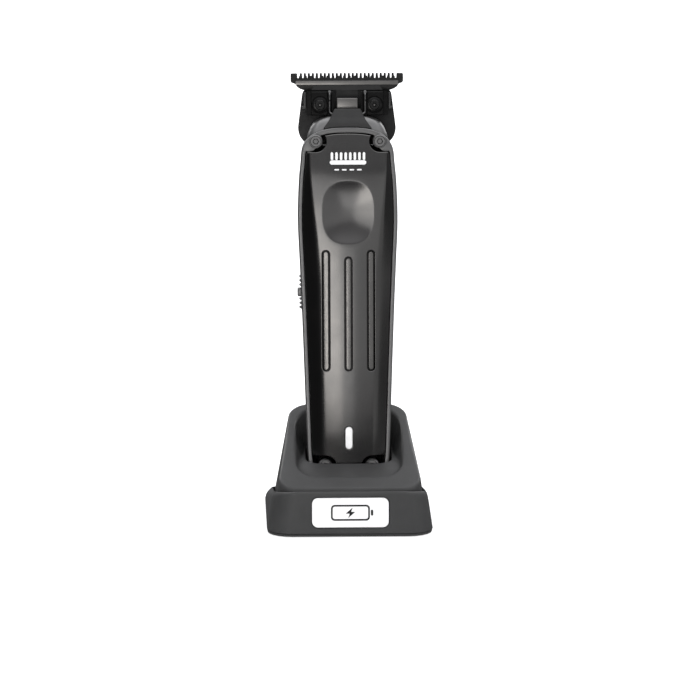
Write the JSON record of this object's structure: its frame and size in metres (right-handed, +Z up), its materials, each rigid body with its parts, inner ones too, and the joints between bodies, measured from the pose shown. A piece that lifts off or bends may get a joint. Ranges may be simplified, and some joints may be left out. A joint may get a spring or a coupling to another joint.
{
  "type": "body groomer",
  "caption": "Cordless T-blade hair and beard groomer standing upright in its wedge-shaped charging stand.",
  "frame": {"origin": "on the ground under the middle of the charging stand", "axes": "+Z up, -Y towards the front of the stand with the badge plate, +X to the viewer's right"},
  "size_m": [0.0662, 0.0742, 0.1775],
  "materials": {
    "stand_plastic": "fine matte moulded texture",
    "badge_white": "gloss",
    "rubber": "matte",
    "screw_steel": "black satin",
    "plain_steel": "ground",
    "circuit_board": "solder mask",
    "inner_plastic": "matte",
    "dark_chrome": "dark chrome plating, high gloss",
    "rear_shell": "gloss",
    "frame_metal": "satin gunmetal",
    "inlay_metal": "polished",
    "light_window": "translucent white",
    "cell_wrap": "shrink wrap",
    "contact_gold": "plated",
    "blade_black": "black hard coating"
  },
  "bodies": {
    "stand": {"stand_upper_housing": "stand_plastic", "stand_lower_housing": "stand_plastic", "stand_base_plate": "stand_plastic", "badge_plate": "badge_white", "stand_foot_1": "rubber", "stand_foot_2": "rubber", "stand_foot_3": "rubber", "stand_foot_4": "rubber", "base_screw_1": "screw_steel", "base_screw_2": "screw_steel", "base_screw_3": "screw_steel", "base_screw_4": "screw_steel", "ballast_plate": "plain_steel", "stand_pcb": "circuit_board", "power_socket": "plain_steel", "charge_pin_holder": "inner_plastic"},
    "trimmer": {"mid_frame": "frame_metal", "front_cover": "dark_chrome", "rear_housing": "rear_shell", "frame_screw_1": "screw_steel", "frame_screw_2": "screw_steel", "frame_screw_3": "screw_steel", "frame_screw_4": "screw_steel", "inlay_bar_left": "inlay_metal", "inlay_bar_centre": "inlay_metal", "inlay_bar_right": "inlay_metal", "led_window": "light_window", "main_pcb": "circuit_board", "battery": "cell_wrap", "motor_body": "plain_steel", "motor_cradle": "inner_plastic", "charge_contact_left": "contact_gold", "charge_contact_right": "contact_gold", "charge_jack": "plain_steel", "switch_base": "inner_plastic", "switch_unit": "inner_plastic", "neck_housing": "frame_metal", "neck_cover": "inner_plastic", "blade_bracket": "blade_black", "blade_clamp": "blade_black", "blade_washer_left": "plain_steel", "blade_washer_right": "plain_steel", "blade_screw_left": "screw_steel", "blade_screw_right": "screw_steel", "tension_spring": "screw_steel", "fixed_blade": "blade_black"},
    "rotor": {"motor_shaft": "plain_steel", "eccentric_cam": "plain_steel"},
    "cutter": {"moving_blade": "plain_steel", "cam_follower": "plain_steel"},
    "power_switch": {"switch_slider": "frame_metal"},
    "charge_pin_left": {"charge_pin_left": "contact_gold"},
    "charge_pin_right": {"charge_pin_right": "contact_gold"}
  },
  "joints": [
    {"name": "lift_out", "type": "slide", "parent": "stand", "child": "trimmer", "axis": [0, 0.1392, 0.9903], "range_m": [0, 0.045]},
    {"name": "rotor_spin", "type": "hinge", "parent": "trimmer", "child": "rotor", "pos_m": [0, -0.0033, 0.01644], "axis": [0, 0.1392, 0.9903], "continuous": true},
    {"name": "cutter_slide", "type": "slide", "parent": "trimmer", "child": "cutter", "axis": [1, 0, 0], "range_m": [-0.0009, 0.0009]},
    {"name": "switch_slide", "type": "slide", "parent": "trimmer", "child": "power_switch", "axis": [0, 0.1392, 0.9903], "range_m": [0, 0.003]},
    {"name": "charge_pin_left_press", "type": "slide", "parent": "stand", "child": "charge_pin_left", "axis": [0, 0.1392, 0.9903], "range_m": [-0.001, 0], "stiffness_N_per_m": 200, "springref_m": 0.0005},
    {"name": "charge_pin_right_press", "type": "slide", "parent": "stand", "child": "charge_pin_right", "axis": [0, 0.1392, 0.9903], "range_m": [-0.001, 0], "stiffness_N_per_m": 200, "springref_m": 0.0005}
  ]
}
